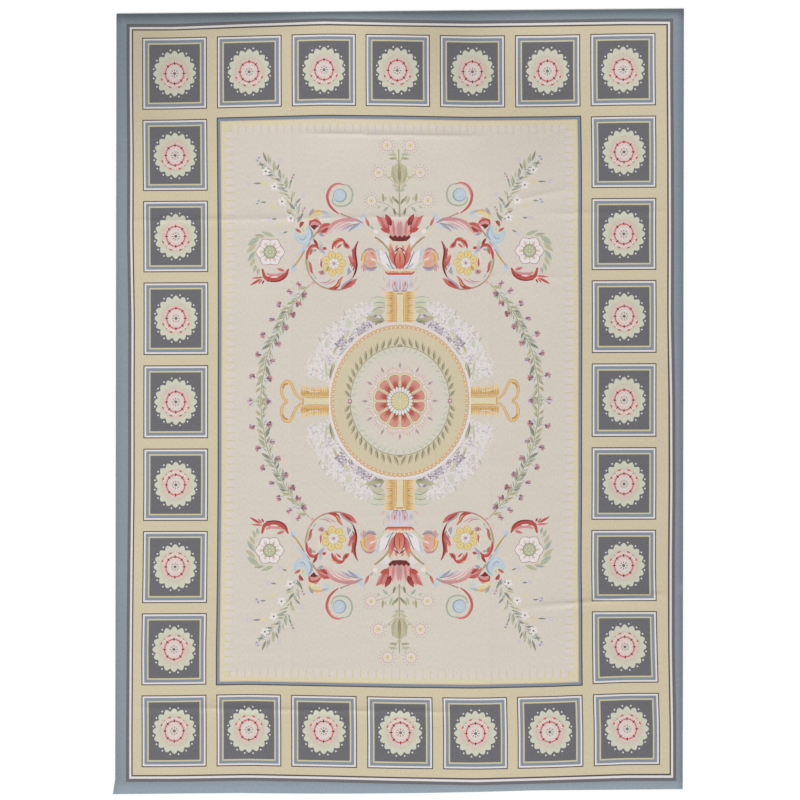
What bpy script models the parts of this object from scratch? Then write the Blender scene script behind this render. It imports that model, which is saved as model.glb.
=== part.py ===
"""A flat-woven tapestry rug of 8 by 11 feet, lying on a floor, in metres with +Z up.

The rug is one piece of weft-faced cloth, so it is one solid: a thin sheet with the slightly skewed
outline of a hand-woven rug and the low ridges that folding for storage has left in it. The design
is woven in colour alone, so nothing of it is raised. The origin is at the middle of the footprint,
on the floor. +Y runs along the length and +X across the width.
"""

import bmesh
import bpy
from mathutils import Vector

# Size of the rug.
HALF_WIDTH = 1.2195
HALF_LENGTH = 1.677
CLOTH_THICKNESS = 0.003

# How far the woven outline departs from a true rectangle.
SKEW_RISE = 0.01075  # the right-hand edge sits this much higher than the middle
SIDE_OFFSET = 0.005  # both sides lie this far to the right of the middle
SIDE_LEAN = 0.0027  # and lean this much further right at the top, and left at the bottom
CORNER_FLARE = 0.010  # the bottom left corner is pulled out by this much
CORNER_FLARE_REACH = 0.060
BOTTOM_BULGE = 0.007  # the middle of the bottom edge hangs this much below a straight line
BULGE_HALF_WIDTH = 0.62
BULGE_MIDDLE = -0.06

# Distance between the plain cuts that let the sheet bend along a ridge.
CUT_SPACING = 0.24

# Half the width of a fold's ridge at its foot, and the share of its height left part of the way out.
RIDGE_HALF_WIDTH = 0.022
RIDGE_SHOULDER_AT = 0.4
RIDGE_SHOULDER_SHARE = 0.42
RIDGE_FADE = 0.16  # length over which a ridge dies away at each end

# The main folds, each a straight ridge from its start to its end.
FOLD_COLUMNS = ("start_x", "start_y", "end_x", "end_y", "height")
FOLDS = {
    "top_pucker": (-0.452, 1.151, 0.392, 1.141, 0.0045),
    "upper_fold_left": (-1.220, 0.774, 0.181, 0.797, 0.0035),
    "upper_fold_right": (0.560, 0.806, 1.230, 0.819, 0.0025),
    "upper_right_crease": (0.426, 0.849, 0.778, 0.922, 0.0040),
    "right_crease": (0.396, 0.544, 0.761, 0.527, 0.0025),
    "lower_right_crease": (0.505, -0.891, 1.214, -0.822, 0.0055),
    "bottom_fold": (-1.163, -1.316, 0.303, -1.335, 0.0045),
    "middle_fold": (-0.037, 1.230, -0.037, 1.670, 0.0025),
    "right_long_fold": (0.389, -1.640, 0.389, 1.140, 0.0025),
    "left_long_fold": (-0.462, -1.640, -0.462, 1.640, 0.0020),
}

WOOL_COLOUR = (0.66, 0.60, 0.50, 1.0)
WOOL_ROUGHNESS = 0.95


def clear_scene():
    for obj in list(bpy.data.objects):
        bpy.data.objects.remove(obj, do_unlink=True)


def wool_material():
    material = bpy.data.materials.new("wool_weave")
    material.use_nodes = True
    shader = material.node_tree.nodes["Principled BSDF"]
    shader.inputs["Base Color"].default_value = WOOL_COLOUR
    shader.inputs["Roughness"].default_value = WOOL_ROUGHNESS
    shader.inputs["Metallic"].default_value = 0.0
    return material


def fold_ends(name):
    """Start, direction, length and height of one fold."""
    fold = dict(zip(FOLD_COLUMNS, FOLDS[name]))
    start = Vector((fold["start_x"], fold["start_y"], 0.0))
    end = Vector((fold["end_x"], fold["end_y"], 0.0))
    return start, (end - start).normalized(), (end - start).length, fold["height"]


def ridge_profile(across):
    """Share of a ridge's height at a distance across it, given in half widths: steep at the crest."""
    if across >= 1.0:
        return 0.0
    if across >= RIDGE_SHOULDER_AT:
        return RIDGE_SHOULDER_SHARE * (1.0 - across) / (1.0 - RIDGE_SHOULDER_AT)
    return 1.0 - (1.0 - RIDGE_SHOULDER_SHARE) * across / RIDGE_SHOULDER_AT


def lift_at(point):
    """How far the cloth stands off the floor at a point, where the highest of the folds wins."""
    lift = 0.0
    for name in FOLDS:
        start, along, length, height = fold_ends(name)
        offset = Vector((point.x, point.y, 0.0)) - start
        run = offset.dot(along)
        across = (offset - along * run).length / RIDGE_HALF_WIDTH
        inside = min(run, length - run) / RIDGE_FADE
        lift = max(lift, height * ridge_profile(across) * min(1.0, max(0.0, inside)))
    return lift


def cut_line(mesh, point, normal):
    """Cuts the whole sheet along the straight line through a point."""
    everything = mesh.verts[:] + mesh.edges[:] + mesh.faces[:]
    bmesh.ops.bisect_plane(mesh, geom=everything, dist=1e-5, plane_co=point, plane_no=normal)


def cut_for_folds(mesh):
    """Cuts lines along every fold's crest, shoulders and feet, so that its ridge keeps its shape."""
    for name in FOLDS:
        start, along, _, _ = fold_ends(name)
        normal = Vector((-along.y, along.x, 0.0))
        for share in (-1.0, -RIDGE_SHOULDER_AT, 0.0, RIDGE_SHOULDER_AT, 1.0):
            cut_line(mesh, start + normal * (share * RIDGE_HALF_WIDTH), normal)


def cut_grid(mesh):
    """Cuts the plain cross lines."""
    for half, axis in ((HALF_WIDTH, Vector((1, 0, 0))), (HALF_LENGTH, Vector((0, 1, 0)))):
        count = round(2 * half / CUT_SPACING)
        for i in range(1, count):
            cut_line(mesh, axis * (half * (2 * i / count - 1)), axis)


def skew_outline(vert):
    """Moves a point of the true rectangle to where it lies in the uneven rug."""
    side = vert.co.x / HALF_WIDTH
    end = vert.co.y / HALF_LENGTH
    from_corner = (Vector((-HALF_WIDTH, -HALF_LENGTH, 0.0)) - vert.co).length
    flare = CORNER_FLARE * max(0.0, 1.0 - from_corner / CORNER_FLARE_REACH)
    off_middle = (vert.co.x - BULGE_MIDDLE) / BULGE_HALF_WIDTH
    bulge = BOTTOM_BULGE * max(0.0, -end) * max(0.0, 1.0 - off_middle * off_middle)
    vert.co.x += SIDE_OFFSET + SIDE_LEAN * end - flare
    vert.co.y += SKEW_RISE * side - bulge


def build_rug():
    sheet = bmesh.new()
    bmesh.ops.create_grid(sheet, x_segments=1, y_segments=1, size=1.0)
    bmesh.ops.scale(sheet, vec=(HALF_WIDTH, HALF_LENGTH, 1.0), verts=sheet.verts)
    cut_grid(sheet)
    for axis, half in ((Vector((1, 0, 0)), HALF_WIDTH), (Vector((0, 1, 0)), HALF_LENGTH)):
        cut_line(sheet, -axis * (half - CORNER_FLARE_REACH), axis)
    for vert in sheet.verts:
        skew_outline(vert)
    cut_for_folds(sheet)
    bmesh.ops.triangulate(sheet, faces=sheet.faces)
    for vert in sheet.verts:
        vert.co.z = CLOTH_THICKNESS + lift_at(vert.co)
    mesh = bpy.data.meshes.new("rug")
    sheet.to_mesh(mesh)
    sheet.free()
    mesh.materials.append(wool_material())
    rug = bpy.data.objects.new("rug", mesh)
    thickness = rug.modifiers.new("cloth thickness", "SOLIDIFY")
    thickness.thickness = CLOTH_THICKNESS
    thickness.offset = -1.0
    return rug


def main():
    clear_scene()
    collection = bpy.data.collections.new("flat_woven_rug")
    bpy.context.scene.collection.children.link(collection)
    collection.objects.link(build_rug())


main()
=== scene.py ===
"""Finish and setting of a flat-woven wool rug, drawn and woven the way a tapestry workshop does it.

A full-size drawing is made first: plain outlines laid over each other, each with its own dye or a
shading from one dye to another. The drawing is then woven into one thin sheet, cut along every
outline so that each colour keeps a crisp edge, and the sheet takes the low folds of the solid rug.
Lengths in the drawing are millimetres from the rug's middle. A point is a complex number, across
plus up times 1j, and so is a direction.
"""

import cmath
import math
import random

import bmesh
import bpy
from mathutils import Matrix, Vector
from mathutils.geometry import delaunay_2d_cdt


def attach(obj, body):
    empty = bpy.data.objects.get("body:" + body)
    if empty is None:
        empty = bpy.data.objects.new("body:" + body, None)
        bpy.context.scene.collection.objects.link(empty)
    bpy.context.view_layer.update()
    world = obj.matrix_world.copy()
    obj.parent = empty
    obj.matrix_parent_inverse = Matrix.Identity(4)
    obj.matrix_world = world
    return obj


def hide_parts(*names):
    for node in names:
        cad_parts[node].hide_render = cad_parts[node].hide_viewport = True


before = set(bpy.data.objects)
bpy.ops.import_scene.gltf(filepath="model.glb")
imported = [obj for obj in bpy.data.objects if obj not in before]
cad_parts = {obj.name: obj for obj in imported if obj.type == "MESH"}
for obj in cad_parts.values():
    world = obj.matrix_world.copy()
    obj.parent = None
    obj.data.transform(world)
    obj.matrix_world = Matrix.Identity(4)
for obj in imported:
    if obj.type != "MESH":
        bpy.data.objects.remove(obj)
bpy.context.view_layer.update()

# Size of the cloth, and how far its outline is from square: the same values as the solid's.
HALF_WIDTH = 1219.5
HALF_LENGTH = 1677.0
THICKNESS = 3.0
SKEW_RISE = 10.75
SIDE_OFFSET = 5.0
SIDE_LEAN = 2.7
CORNER_FLARE = 10.0
CORNER_FLARE_REACH = 60.0
BOTTOM_BULGE = 7.0
BULGE_HALF_WIDTH = 620.0
BULGE_MIDDLE = -60.0

# The folds of the solid rug: start, end and height of each ridge.
FOLDS = {
    "top_pucker": (-452 + 1151j, 392 + 1141j, 4.5),
    "upper_fold_left": (-1220 + 774j, 181 + 797j, 3.5),
    "upper_fold_right": (560 + 806j, 1230 + 819j, 2.5),
    "upper_right_crease": (426 + 849j, 778 + 922j, 4.0),
    "right_crease": (396 + 544j, 761 + 527j, 2.5),
    "lower_right_crease": (505 - 891j, 1214 - 822j, 5.5),
    "bottom_fold": (-1163 - 1316j, 303 - 1335j, 4.5),
    "middle_fold": (-37 + 1230j, -37 + 1670j, 2.5),
    "right_long_fold": (389 - 1640j, 389 + 1140j, 2.5),
    "left_long_fold": (-462 - 1640j, -462 + 1640j, 2.0),
}
RIDGE_HALF_WIDTH = 22.0
RIDGE_SHOULDER_AT = 0.4
RIDGE_SHOULDER_SHARE = 0.42
RIDGE_FADE = 160.0

# The squares of the border stand in 7 columns and 9 rows.
SQUARE_PITCH = complex(323.0, 354.6)
SQUARE_HALF = complex(140.0, 155.5)
MIDDLE_COLUMN = 3
MIDDLE_ROW = 4

# How far the weave has wandered on the loom: right and up, by row from the top for the squares and
# lines at the sides, and by column from the left for those at the top and bottom.
LEFT_RIGHTWARD = (7, 9, 12, 13, 12, 12, 9, 4, 6)
LEFT_UPWARD = (-9, -6, 1, 3, -2, -4, -2, -2, 2)
RIGHT_RIGHTWARD = (-3, 1, 0, 2, 1, 1, -1, 5, 15)
RIGHT_UPWARD = (9, 9, 11, 12, 6, 0, 4, 9, 11)
TOP_RIGHTWARD = (0, -1, 0, -7, -5, -4, 0)
TOP_UPWARD = (0, 5, 11, 5, -4, -4, 0)
BOTTOM_RIGHTWARD = (0, -4, -7, -1, -3, -8, 0)
BOTTOM_UPWARD = (0, 4, -4, -12, -17, -12, 0)
LEFT_LINES = (5, 8, 7, 13, 12, 12, 8, 5, 3)
RIGHT_LINES = (8, 11, 12, 11, 17, 18, 15, 15, 21)
TOP_LINES = (-8, 5, 16, 10, 6, 10, 15)
BOTTOM_LINES = (-4, 1, -5, -13, -19, -10, 0)

# Distances from the middle lines over which one of these sets gives way to the next.
FIELD_TO_ENDS = (950, 1222)
SQUARES_TO_SIDE_LINES = (1112, 1150)
SQUARES_TO_END_LINES = (1576, 1612)
SIDE_LINES_TO_EDGE = (1180, HALF_WIDTH)
END_LINES_TO_EDGE = (1640, HALF_LENGTH)

# Dyes of the yarns, as they look in even light.
DYES = {
    "ecru": (213, 204, 193),
    "haze": (217, 210, 206),
    "snow": (224, 219, 219),
    "lilac_pale": (213, 203, 210),
    "heather_pale": (190, 181, 190),
    "dusk": (146, 132, 142),
    "rust": (204, 156, 118),
    "buff": (222, 206, 172),
    "gold": (206, 158, 92),
    "gold_pale": (221, 190, 134),
    "gold_brown": (190, 142, 88),
    "straw_light": (218, 207, 174),
    "olive_grey": (158, 154, 130),
    "bay": (134, 130, 108),
    "pale_bay": (200, 202, 182),
    "moss_pale": (194, 192, 164),
    "rose_pale": (213, 160, 152),
    "pink_warm": (208, 148, 138),
    "brick_warm": (198, 96, 84),
    "peach_pink": (216, 164, 140),
    "denim_pale": (168, 180, 192),
    "tooth": (217, 207, 202),
    "pale_straw": (216, 206, 176),
    "olive_straw": (207, 196, 164),
    "peach": (216, 188, 152),
    "sand": (208, 196, 168),
    "slate_blue": (138, 149, 158),
    "charcoal": (109, 108, 112),
    "soot": (88, 82, 80),
    "milk": (226, 219, 217),
    "line_blue": (134, 144, 158),
    "line_sand": (204, 196, 160),
    "sage": (205, 206, 187),
    "sage_dark": (172, 178, 152),
    "shell": (215, 198, 190),
    "blush": (216, 176, 170),
    "rose": (200, 118, 114),
    "brick": (183, 84, 80),
    "oxblood": (116, 52, 54),
    "pink": (206, 146, 143),
    "petal_white": (228, 222, 218),
    "amber": (214, 174, 118),
    "straw": (216, 205, 164),
    "butter": (220, 204, 140),
    "ochre": (200, 168, 108),
    "tan_brown": (170, 144, 112),
    "olive": (168, 163, 130),
    "olive_pale": (190, 182, 152),
    "olive_deep": (140, 134, 112),
    "moss": (176, 182, 156),
    "pale_leaf": (206, 207, 188),
    "grey_leaf": (168, 174, 162),
    "deep_leaf": (136, 144, 134),
    "mist": (202, 208, 208),
    "sky": (186, 200, 210),
    "denim": (150, 160, 176),
    "lilac": (204, 194, 208),
    "mauve": (180, 142, 148),
    "plum": (134, 104, 116),
    "heather": (168, 160, 174),
    "teal": (150, 168, 160),
    "bark": (132, 114, 96),
    "ring_red": (200, 100, 98),
    "slate_green": (112, 116, 114),
}


def turn(degrees):
    """Direction at an angle from the right-hand side, going up and round."""
    return cmath.rect(1.0, math.radians(degrees))


def mixed(first, second, share):
    return first + (second - first) * share


def in_table(table, place):
    """Value of an evenly spaced table at a place from 0, its start, to 1, its end."""
    spot = min(max(place, 0.0), 1.0) * (len(table) - 1)
    low = min(int(spot), len(table) - 2)
    return mixed(table[low], table[low + 1], spot - low)


def ramp(value, start, end):
    return min(1.0, max(0.0, (value - start) / (end - start)))


def on_loom(point):
    """Where a point of the drawing lies in the finished rug, in millimetres of the solid's frame."""
    across = (point.real / SQUARE_PITCH.real + MIDDLE_COLUMN) / (2 * MIDDLE_COLUMN)
    down = (MIDDLE_ROW - point.imag / SQUARE_PITCH.imag) / (2 * MIDDLE_ROW)
    from_side, from_end = abs(point.real), abs(point.imag)
    at_top = point.imag > 0
    shift = mixed(in_table(LEFT_RIGHTWARD, down), in_table(RIGHT_RIGHTWARD, down), across)
    rise = mixed(in_table(LEFT_UPWARD, down), in_table(RIGHT_UPWARD, down), across)
    loose = ramp(from_end, *FIELD_TO_ENDS)
    shift += loose * in_table(TOP_RIGHTWARD if at_top else BOTTOM_RIGHTWARD, across)
    rise += loose * in_table(TOP_UPWARD if at_top else BOTTOM_UPWARD, across)
    side_line = in_table(RIGHT_LINES if point.real > 0 else LEFT_LINES, down)
    end_line = in_table(TOP_LINES if at_top else BOTTOM_LINES, across)
    shift = mixed(shift, side_line, ramp(from_side, *SQUARES_TO_SIDE_LINES))
    rise = mixed(rise, end_line, ramp(from_end, *SQUARES_TO_END_LINES))
    side, end = point.real / HALF_WIDTH, point.imag / HALF_LENGTH
    off_middle = (point.real - BULGE_MIDDLE) / BULGE_HALF_WIDTH
    bulge = BOTTOM_BULGE * max(0.0, -end) * max(0.0, 1.0 - off_middle * off_middle)
    shift = mixed(shift, SIDE_OFFSET + SIDE_LEAN * end, ramp(from_side, *SIDE_LINES_TO_EDGE))
    rise = mixed(rise, SKEW_RISE * side - bulge, ramp(from_end, *END_LINES_TO_EDGE))
    from_corner = abs(complex(-HALF_WIDTH, -HALF_LENGTH) - point)
    flare = CORNER_FLARE * max(0.0, 1.0 - from_corner / CORNER_FLARE_REACH)
    return point + complex(shift - flare, rise)


# Outlines

BOX_STEP = 60.0  # between the points along a straight side
STROKE_STEPS = 3  # pieces of curve between two points of a path


def on_oval(size, way):
    """Point of an oval in a direction, where size holds its two half widths."""
    return complex(size.real * way.real, size.imag * way.imag)


def oval(centre, across, up, points, tilt=0.0):
    turned = turn(tilt)
    steps = [2 * math.pi * i / points for i in range(points)]
    return [centre + turned * complex(across * math.cos(a), up * math.sin(a)) for a in steps]


def box(low, high):
    """Rectangle between two corners, with points along its sides so that it can follow the loom."""
    corners = [low, complex(high.real, low.imag), high, complex(low.real, high.imag)]
    outline = []
    for first, second in zip(corners, corners[1:] + corners[:1]):
        count = max(1, round(abs(second - first) / BOX_STEP))
        outline += [mixed(first, second, i / count) for i in range(count)]
    return outline


def leaf(base, tip, width, bend, fullest, points):
    """Leaf or petal, pointed at both ends, bowed to its left by the share bend of its length."""
    along = tip - base
    side = 1j * along / abs(along)
    power = math.log(0.5) / math.log(fullest)
    left, right = [], []
    for i in range(1, points + 1):
        t = i / (points + 1)
        spine = base + along * (t + 4j * bend * t * (1 - t))
        half = 0.5 * width * math.sin(math.pi * t**power)
        left.append(spine + side * half)
        right.append(spine - side * half)
    return [base] + right + [tip] + left[::-1]


def smooth(path, steps=STROKE_STEPS):
    """The curve that runs evenly through the points of a path."""
    ends = [2 * path[0] - path[1]] + list(path) + [2 * path[-1] - path[-2]]
    curve = []
    for i in range(1, len(ends) - 2):
        a, b, c, d = ends[i - 1 : i + 3]
        for j in range(steps):
            t = j / steps
            bow = (3 * (b - c) + d - a) * t + 2 * a - 5 * b + 4 * c - d
            curve.append(b + 0.5 * t * (c - a + t * bow))
    return curve + [path[-1]]


def ribbon(path, widths):
    """Strip along a smooth path, as wide at each share of its length as the widths say."""
    curve = smooth(path) if len(path) > 2 else list(path)
    left, right = [], []
    for i, point in enumerate(curve):
        along = curve[min(i + 1, len(curve) - 1)] - curve[max(i - 1, 0)]
        half = 0.5j * in_table(widths, i / (len(curve) - 1)) * along / (abs(along) or 1.0)
        left.append(point + half)
        right.append(point - half)
    return right + left[::-1]


def scallops(centre, across, up, count, depth, start=0.0):
    """Rim of pointed scallops: the tips touch the oval, and the valleys lie within it."""
    outline = []
    pitch = 360.0 / count
    for i in range(count):
        for share, inset in ((0.0, 0.0), (0.22, 0.30), (0.5, 1.0), (0.78, 0.30)):
            way = turn(start + pitch * (i + share))
            reach = 1.0 - depth * inset
            outline.append(centre + reach * complex(across * way.real, up * way.imag))
    return outline


def wedge(way, low, high, narrow, wide):
    """Petal that widens from low to high along a direction and ends in a flat arch."""
    side = 1j * way
    knee, shoulder, crown = mixed(low, high, 0.72), high - 8, high - 1.5
    outline = [low * way - narrow * side, low * way, low * way + narrow * side]
    outline += [knee * way + 0.92 * wide * side, shoulder * way + wide * side]
    outline += [crown * way + 0.55 * wide * side, high * way, crown * way - 0.55 * wide * side]
    outline += [shoulder * way - wide * side, knee * way - 0.92 * wide * side]
    return outline[::-1]


# The drawing

NARROW_LEAF = 7.0


class Drawing:
    """The weaver's full-size drawing: outlines with their dyes, the later ones laid over the rest."""

    def __init__(self):
        self.outlines = []
        self.tints = []
        self.mirror = (1, 1)
        self.nudge = 0j

    def place(self, point):
        """Where a point of the quarter that is being drawn lies in the rug."""
        moved = point + self.nudge
        return on_loom(complex(moved.real * self.mirror[0], moved.imag * self.mirror[1]))

    def lay(self, outline, dye, to=None, start=None, end=None, round=False):
        """Adds an outline in one dye, or shading into a second dye from start to end."""
        placed = [self.place(point) for point in outline]
        turned = sum((a.conjugate() * b).imag for a, b in zip(placed, placed[1:] + placed[:1]))
        self.outlines.append(placed if turned > 0 else placed[::-1])
        if to is None:
            self.tints.append((dye, dye, 0j, 1 + 0j, True))
        else:
            self.tints.append((dye, to, self.place(start), self.place(end), round))

    def leaf(self, base, tip, width, dye, to=None, bend=0.0, fullest=0.45, points=3):
        """A leaf that may shade from its base to its tip; a narrow one needs fewer points."""
        points = min(points, 2) if width < NARROW_LEAF else points
        self.lay(leaf(base, tip, width, bend, fullest, points), dye, to, base, tip)

    def leaves(self, *rows):
        for dye, width, base, tip in rows:
            self.leaf(base, tip, width, dye)

    def strip(self, dye, widths, *path, to=None):
        """A stroke along a path that may shade from its start to its end."""
        self.lay(ribbon(path, widths), dye, to, path[0], path[-1])

    def dot(self, centre, radius, dye, points=7):
        self.lay(oval(centre, radius, radius, points), dye)

    def in_quarters(self, *motifs, nudge=0j):
        """Draws each motif in all four quarters, mirrored about both middle lines."""
        self.nudge = nudge
        for self.mirror in ((-1, 1), (1, 1), (-1, -1), (1, -1)):
            for motif in motifs:
                motif(self)
        self.mirror = (1, 1)
        self.nudge = 0j


def linear(part):
    """Linear light of one 0 to 255 display value."""
    share = part / 255.0
    return share / 12.92 if share <= 0.04045 else ((share + 0.055) / 1.055) ** 2.4


DYED = {name: Vector([linear(part) for part in dye]) for name, dye in DYES.items()}


def colour_at(tint, point):
    dye, to, start, end, round_shading = tint
    first = DYED[dye]
    if to == dye:
        return first
    reach = end - start
    if round_shading:
        share = abs(point - start) / abs(reach)
    else:
        share = ((point - start) * reach.conjugate()).real / abs(reach) ** 2
    return first.lerp(DYED[to], min(1.0, max(0.0, share)))


# Border

# The bands from the outside in: each dye, and how far its outer edge lies inside the first one's.
BAND_INSETS = (("slate_blue", 0.0), ("charcoal", 46.0), ("milk", 59.5), ("soot", 68.5), ("sand", 74.0))
FRAME_INSETS = (
    ("soot", 0.0),
    ("milk", 4.6),
    ("line_blue", 12.0),
    ("line_sand", 24.0),
    ("charcoal", 30.5),
)
GUARD_HALF = complex(788.0, 1224.0)
GUARD_WIDTH = 75
GUARD_INSETS = (("soot", 0.0), ("line_blue", 5.2), ("peach", 16.0), ("pale_straw", 20.0))
TOOTH_PITCH = 33.5


def nested_boxes(drawing, middle, half, insets):
    for dye, inset in insets:
        corner = half - complex(inset, inset)
        drawing.lay(box(middle - corner, middle + corner), dye)


def rosette(drawing, middle, heavy_side):
    """The round flower of a border square; its heavier red dashes lie on the side given, 1 for up."""
    drawing.lay(scallops(middle, 93, 99, 16, 0.15), "sage")
    drawing.lay(oval(middle, 76, 81, 20), "pink", "sage", middle, middle + 78, True)
    for i in range(16):
        way = turn(11.25 + 22.5 * i)
        dot = middle + on_oval(92 + 102j, way)
        drawing.lay(oval(dot, 4.4, 4.4, 4), "milk")
    drawing.lay(oval(middle, 54, 58, 20), "rose", "shell", middle, middle + 56, True)
    for i in range(13):
        way = turn((20 + 11.7 * i) * heavy_side)
        drawing.leaf(middle + 46 * way, middle + 62 * way, 5, "petal_white", points=1)
    for degrees, length in ((70, 19), (24, 17), (110, 19), (156, 17), (46, 9), (134, 9)):
        way = turn(degrees * heavy_side)
        spot = middle + on_oval(60 + 62j, way)
        across = 0.5j * way * length
        drawing.leaf(spot - across, spot + across, 8 if length > 10 else 5, "ring_red", points=2)
    drawing.lay(oval(middle, 42, 46, 24), "ring_red")
    drawing.lay(oval(middle, 37, 41, 24), "petal_white", "shell", middle, middle + 40, True)
    for i in range(8):
        way = turn(45 * i)
        ring = middle + on_oval(40 + 44j, way)
        drawing.leaf(ring - 9 * way, ring + 9 * way, 7, "oxblood", points=1)
        between = turn(45 * i + 22.5)
        drawing.leaf(middle + 24 * between, middle + 39 * between, 3.5, "lilac", points=1)
        drawing.leaf(middle + 7 * way, middle + 21 * way, 4.4, "bark", points=1)
        drawing.dot(middle + 18 * between, 2.6, "ochre", 4)
    drawing.dot(middle, 7, "slate_green", 8)


def border(drawing):
    """The outer bands, and the squares with their rosettes, from the bottom row up."""
    nested_boxes(drawing, 0j, complex(HALF_WIDTH, HALF_LENGTH), BAND_INSETS)
    for up in range(-MIDDLE_ROW, MIDDLE_ROW + 1):
        for right in range(-MIDDLE_COLUMN, MIDDLE_COLUMN + 1):
            if abs(up) == MIDDLE_ROW or abs(right) == MIDDLE_COLUMN:
                square = complex(right * SQUARE_PITCH.real, up * SQUARE_PITCH.imag)
                nested_boxes(drawing, square, SQUARE_HALF, FRAME_INSETS)
                rosette(drawing, square, 1 if up < 0 else -1)


def guard(drawing):
    """The framing lines of the field."""
    nested_boxes(drawing, 0j, GUARD_HALF, GUARD_INSETS)
    inner = GUARD_HALF - complex(GUARD_WIDTH, GUARD_WIDTH)
    drawing.lay(box(-inner, inner), "ecru")


def teeth(drawing):
    """The row of soft rounded teeth inside the framing lines, and the thin strokes between them."""
    for reach, half, way in ((GUARD_HALF.imag, GUARD_HALF.real, 1), (GUARD_HALF.real, GUARD_HALF.imag, 1j)):
        inward = 1j if way == 1 else 1
        count = round((half - 60) / TOOTH_PITCH)
        pitch = (half - 60) / count
        for i in range(count + 1):
            stem = complex(pitch * i, 0) * way + inward * (reach - 74)
            drawing.lay(ribbon((stem, stem + 34 * inward), (3.6, 3.0)), "olive_straw")
        for i in range(count):
            foot = (pitch * (i + 0.5)) * way + inward * (reach - 82)
            side = 0.5 * (pitch - 4.5) * way
            drawing.lay([foot + side, foot + side + 30 * inward, foot + 0.62 * side + 42 * inward,
                         foot + 46 * inward, foot - 0.62 * side + 42 * inward, foot - side + 30 * inward,
                         foot - side], "tooth", "ecru", foot + 46 * inward, foot + 6 * inward)


# Middle roundel

LOOP_COUNT = 94
LOOP_LINE = complex(291, 314)
STEM_LINE = complex(215, 231)
WREATH_INSIDE = complex(311, 333)


def roundel(drawing):
    """The white ring, its row of small loops and the thin stem of the laurel."""
    drawing.lay(oval(0j, 312, 334, 72), "milk", "shell", 0j, 700j)
    drawing.lay(oval(0j, 301, 324, 72), "sand")
    for i in range(LOOP_COUNT):
        way = turn(360 * (i + 0.5) / LOOP_COUNT)
        loop = on_oval(LOOP_LINE, way)
        drawing.dot(loop, 9.5, "rust", 7)
        drawing.dot(loop, 6.0, "buff", 5)
        drawing.dot(loop * 0.972, 3.4, "buff", 4)
    drawing.lay(oval(0j, 217, 233, 60), "olive_grey")
    drawing.lay(oval(0j, 213.5, 229.5, 60), "ecru")


def laurel(drawing):
    """Leaves along the thin round stem, in one quarter."""
    for i in range(12):
        way = turn(4 + 7.15 * i)
        base = on_oval(STEM_LINE, way)
        out = turn(50 + 6 * i)
        length = 36 + i
        drawing.leaf(base + 2 * out, base + (5 + length) * out, 15, "olive_grey", "olive_pale")
        drawing.leaf(base + 4 * out, base + (3 + length) * out, 5, "bay", None, 0.09)
        inward = turn(145 + 8 * i)
        drawing.leaf(base + 2 * inward, base + 44 * inward, 14, "pale_bay", "pale_leaf")
        drawing.leaf(base + 6 * inward, base + 36 * inward, 4, "sage_dark", "pale_leaf")
    drawing.dot(4 + 234j, 7, "olive_grey", 8)
    for j in range(4):
        drawing.dot(216 + 6 * turn(90 * j + 45), 6.5, "mauve", 6)
    drawing.dot(216 + 0j, 4, "petal_white", 6)


def heart_flower(drawing):
    """The red flower of twelve petals in the middle of the roundel."""
    for i in range(72):
        way = turn(5 * i + 2.5)
        reach = 150 if i % 6 in (2, 3) else 141 if i % 6 in (1, 4) else 133
        tip = complex(reach * way.real, 1.04 * reach * way.imag)
        drawing.leaf(112 * way, tip, 5.5, "petal_white", "blush")
        drawing.leaf(mixed(112 * way, tip, 0.5), tip, 4.5, "rose_pale", "blush")
    for i in range(12):
        way = turn(30 * i)
        drawing.leaf(96 * way, 136 * way, 6, "petal_white")
        drawing.leaf(136 * way, 166 * way, 9, "heather", "mauve")
        drawing.leaf(150 * way - 8j * way, 150 * way + 8j * way, 6, "mauve", points=2)
    for i in range(12):
        way = turn(30 * i + 15)
        up = 1.0 + 0.05 * abs(way.imag)
        for dye, grow, out in (("tan_brown", 4, 3), ("straw_light", 2.5, 1.5), ("tan_brown", -3.5, -6)):
            drawing.lay(wedge(way, 48, 114 * up + out, 11 + grow, 25 + grow), dye)
        drawing.lay(wedge(way, 50, 106 * up, 7, 20), "brick_warm", "pink_warm", 52 * way, 100 * way)
        for off, end in ((-9, 84), (-3, 96), (4, 92), (10, 82)):
            drawing.leaf(56 * way + 0.5j * off * way, end * way + 1j * off * way, 3.2, "oxblood", "brick")
    drawing.lay(scallops(0j, 62, 66, 24, 0.20), "deep_leaf")
    drawing.lay(scallops(0j, 58, 62, 24, 0.20), "petal_white")
    for i in range(24):
        way = turn(15 * i + 7.5)
        drawing.leaf(38 * way, 55 * way, 5, "teal", "mist")
    drawing.dot(0j, 40, "tan_brown", 24)
    drawing.dot(0j, 37, "straw", 24)
    for count, reach in ((15, 31), (11, 21), (6, 11)):
        for i in range(count):
            drawing.dot(reach * turn(360 * i / count), 3.4, "ochre" if count == 11 else "sage_dark", 5)


PALE_BLOSSOMS = ("milk", "milk", "snow", "milk", "lilac_pale", "snow", "pale_leaf", "heather_pale")
DARK_BLOSSOMS = ("heather", "dusk", "dusk", "milk", "lilac_pale", "teal", "heather_pale", "dusk", "mauve")


def wreath_point(angle, out):
    """Point beside the roundel: 1 lies on its rim, and more lies further out."""
    way = turn(angle)
    return out * on_oval(WREATH_INSIDE, way)


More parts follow.
